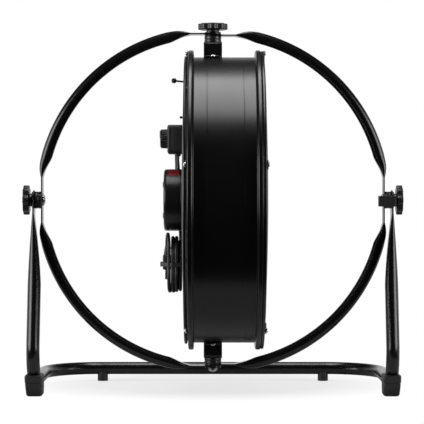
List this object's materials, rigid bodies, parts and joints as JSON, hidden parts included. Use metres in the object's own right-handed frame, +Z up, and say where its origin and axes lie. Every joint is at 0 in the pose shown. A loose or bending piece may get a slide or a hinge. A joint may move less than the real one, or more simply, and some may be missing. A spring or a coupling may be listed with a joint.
{
  "type": "drum fan on a tube stand",
  "caption": "Drum fan in a round tube ring on a bent tube stand, with star knobs, a rear switch box and a tied mains cord; it tilts in the stand and turns in the ring.",
  "frame": {"origin": "on the floor, under the middle of the ring, at the middle of the footprint", "axes": "+Z up; +X along the tilt axis and the fan's shaft, towards the side the air leaves; +Y towards the stand's back bar"},
  "size_m": [0.6472, 0.5072, 0.6313],
  "materials": {
    "black_enamel": "glossy black enamel on steel",
    "black_plastic": "matt black moulded plastic",
    "black_rubber": "matt black rubber",
    "bright_steel": "bright zinc-plated steel",
    "bare_aluminium": "bare aluminium"
  },
  "bodies": {
    "stand": {"stand_frame": "black_enamel", "foot_left": "black_rubber", "foot_right": "black_rubber", "bar_pad_left": "black_rubber", "bar_pad_right": "black_rubber"},
    "ring": {"ring_half_left": "black_enamel", "ring_half_right": "black_enamel", "side_bolt_left": "bright_steel", "side_spacer_left": "black_plastic", "side_washer_left": "black_enamel", "side_bolt_right": "bright_steel", "side_spacer_right": "black_plastic", "side_washer_right": "black_enamel", "stop_block": "black_plastic", "top_spacer": "black_plastic", "bottom_spacer": "black_plastic"},
    "drum": {"drum_shell": "black_enamel", "rear_grille": "black_enamel", "front_grille": "black_enamel", "top_bracket": "black_enamel", "top_bolt": "bright_steel", "top_washer": "black_enamel", "bottom_bracket": "black_enamel", "bottom_bolt": "bright_steel", "bottom_washer": "bright_steel", "bottom_nut": "bright_steel", "motor_strut": "black_enamel", "motor_rear_cap": "black_enamel", "motor_body": "bare_aluminium", "motor_bearing": "bright_steel", "switch_box": "black_plastic", "box_clamp_plate": "black_enamel", "lead_collar": "black_rubber", "motor_lead": "black_rubber", "cord_relief": "black_rubber", "cord_hook_upper": "black_enamel", "cord_hook_lower": "black_enamel", "cord_lead": "black_rubber", "cord_hank": "black_rubber", "cord_tail": "black_rubber", "plug": "black_rubber", "cord_tie": "black_plastic"},
    "fan": {"fan_shaft": "bright_steel", "fan_hub": "black_enamel", "blade_1": "bare_aluminium", "blade_2": "bare_aluminium", "blade_3": "bare_aluminium", "blade_4": "bare_aluminium"},
    "knob_left": {"knob_left": "black_plastic"},
    "knob_right": {"knob_right": "black_plastic"},
    "knob_top": {"knob_top": "black_plastic"},
    "switch_knob": {"switch_knob": "black_plastic"}
  },
  "joints": [
    {"name": "ring_tilt", "type": "hinge", "parent": "stand", "child": "ring", "pos_m": [0, 0, 0.33], "axis": [1, 0, 0], "range_deg": [-222, 11]},
    {"name": "drum_turn", "type": "hinge", "parent": "ring", "child": "drum", "pos_m": [0, 0, 0.33], "axis": [0, 0, 1], "continuous": true},
    {"name": "fan_spin", "type": "hinge", "parent": "drum", "child": "fan", "pos_m": [0, 0, 0.33], "axis": [1, 0, 0], "continuous": true},
    {"name": "knob_left_turn", "type": "hinge", "parent": "ring", "child": "knob_left", "pos_m": [-0.315, 0, 0.33], "axis": [-1, 0, 0], "range_deg": [0, 360]},
    {"name": "knob_right_turn", "type": "hinge", "parent": "ring", "child": "knob_right", "pos_m": [0.315, 0, 0.33], "axis": [1, 0, 0], "range_deg": [0, 360]},
    {"name": "knob_top_turn", "type": "hinge", "parent": "drum", "child": "knob_top", "pos_m": [0, 0, 0.62], "axis": [0, 0, 1], "range_deg": [0, 360]},
    {"name": "switch_turn", "type": "hinge", "parent": "drum", "child": "switch_knob", "pos_m": [-0.083, 0, 0.434], "axis": [1, 0, 0], "range_deg": [0, 135]}
  ]
}
